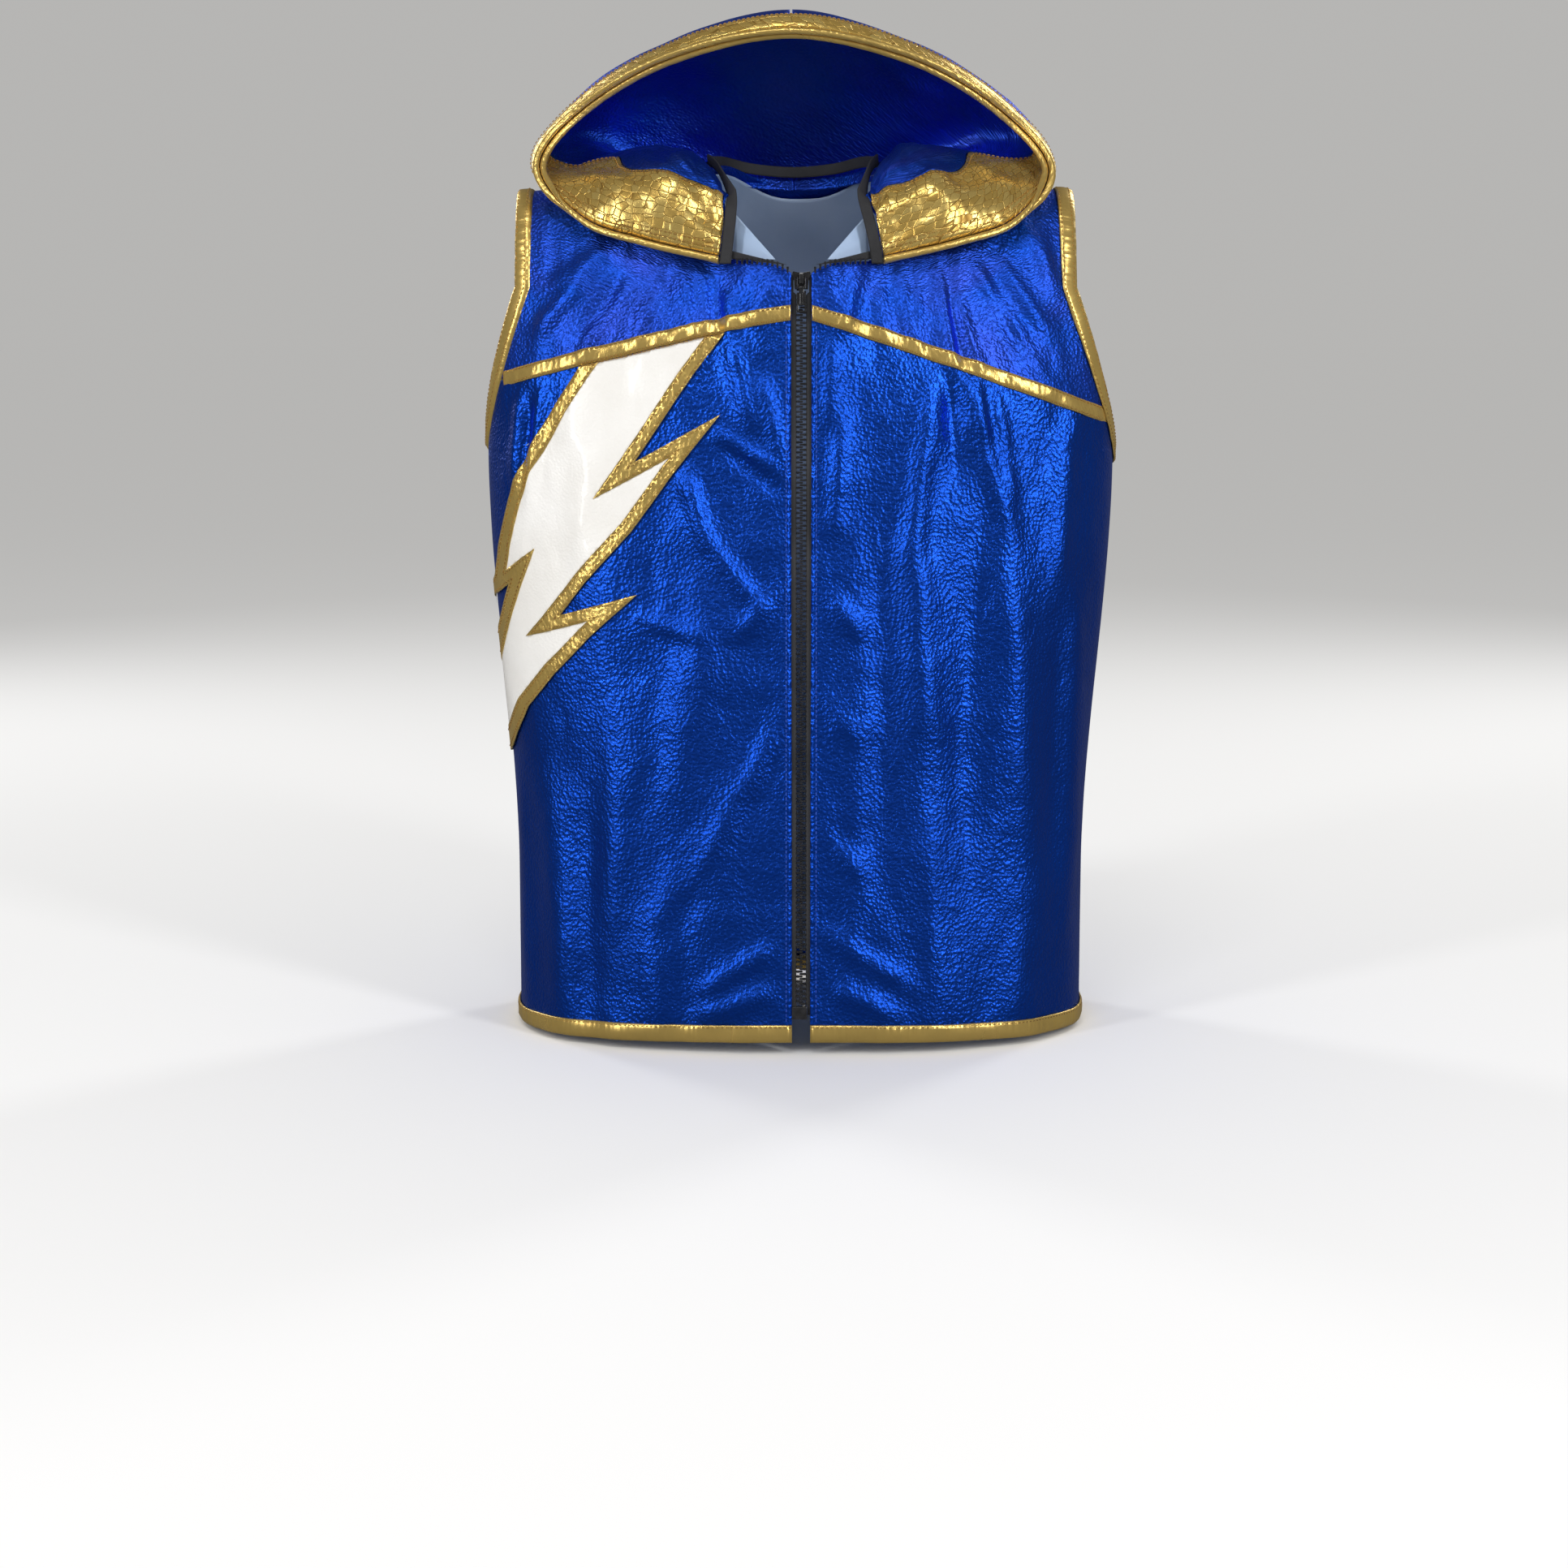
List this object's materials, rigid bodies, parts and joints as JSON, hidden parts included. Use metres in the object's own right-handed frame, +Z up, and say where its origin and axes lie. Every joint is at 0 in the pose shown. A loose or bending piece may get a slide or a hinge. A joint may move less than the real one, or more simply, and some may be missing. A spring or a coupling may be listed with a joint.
{
  "type": "hooded sleeveless zip vest",
  "caption": "Hooded sleeveless costume vest in blue foil cloth with gold bindings, a lightning bolt on one front and a separating zip with sliding pull.",
  "frame": {"origin": "middle of the neck opening, level with the two front corners of the neck, where the wearer's neck stands", "axes": "+Z up, -Y towards the front that carries the zip, +X towards the wearer's left"},
  "size_m": [0.4592, 0.2535, 0.7297],
  "materials": {
    "blue_foil_cloth": "metallic crinkle foil on cloth",
    "satin_lining": "smooth satin lining",
    "white_leather": "matt white grained leather",
    "gold_foil_leather": "gold foil leather, satin metallic",
    "gold_snakeskin": "gold foil leather with pressed scales",
    "black_tape": "plain woven tape",
    "zip_tape_weave": "woven zip tape",
    "pin_metal": "bright",
    "black_zip_paint": "black enamel on die-cast zinc",
    "black_zip_plastic": "moulded"
  },
  "bodies": {
    "vest": {"front_panel_left": "blue_foil_cloth", "front_panel_right": "blue_foil_cloth", "yoke_front_left": "blue_foil_cloth", "yoke_front_right": "blue_foil_cloth", "back_panel": "blue_foil_cloth", "lining_front_left": "satin_lining", "lining_front_right": "satin_lining", "lining_back": "satin_lining", "bolt_panel": "white_leather", "bolt_border": "gold_foil_leather", "chest_band_left": "gold_foil_leather", "chest_band_right": "gold_foil_leather", "armhole_binding_left": "gold_foil_leather", "armhole_binding_right": "gold_foil_leather", "hem_binding": "gold_foil_leather", "neck_tape": "black_tape", "zip_tape_left": "zip_tape_weave", "zip_tape_right": "zip_tape_weave", "zip_teeth_left": "black_zip_plastic", "zip_teeth_right": "black_zip_plastic", "zip_top_stops": "black_zip_plastic", "zip_retainer_box": "black_zip_plastic", "zip_insertion_pin": "pin_metal", "zip_end_patches": "zip_tape_weave"},
    "hood": {"hood_shell_left": "blue_foil_cloth", "hood_shell_right": "blue_foil_cloth", "hood_lining": "blue_foil_cloth", "hood_facing": "gold_snakeskin", "hood_outer_band": "gold_snakeskin", "hood_edge_piping": "gold_foil_leather"},
    "slider": {"zip_slider": "black_zip_paint", "slider_crown": "black_zip_paint"},
    "link": {"pull_link": "black_zip_paint"},
    "tab": {"pull_tab": "black_zip_paint"}
  },
  "joints": [
    {"name": "zip_slide", "type": "slide", "parent": "vest", "child": "slider", "axis": [0, -0.0693, -0.9976], "range_m": [0, 0.495], "deforming": ["zip_teeth_left", "zip_teeth_right"]},
    {"name": "pull_link_hinge", "type": "hinge", "parent": "slider", "child": "link", "pos_m": [0, -0.09563, -0.01463], "axis": [-1, 0, 0], "range_deg": [0, 120]},
    {"name": "pull_tab_hinge", "type": "hinge", "parent": "link", "child": "tab", "pos_m": [0, -0.09607, -0.02102], "axis": [-1, 0, 0], "range_deg": [0, 50]},
    {"name": "hood_tilt", "type": "hinge", "parent": "vest", "child": "hood", "pos_m": [0, 0.082, 0.064], "axis": [-1, 0, 0], "range_deg": [0, 20]}
  ]
}
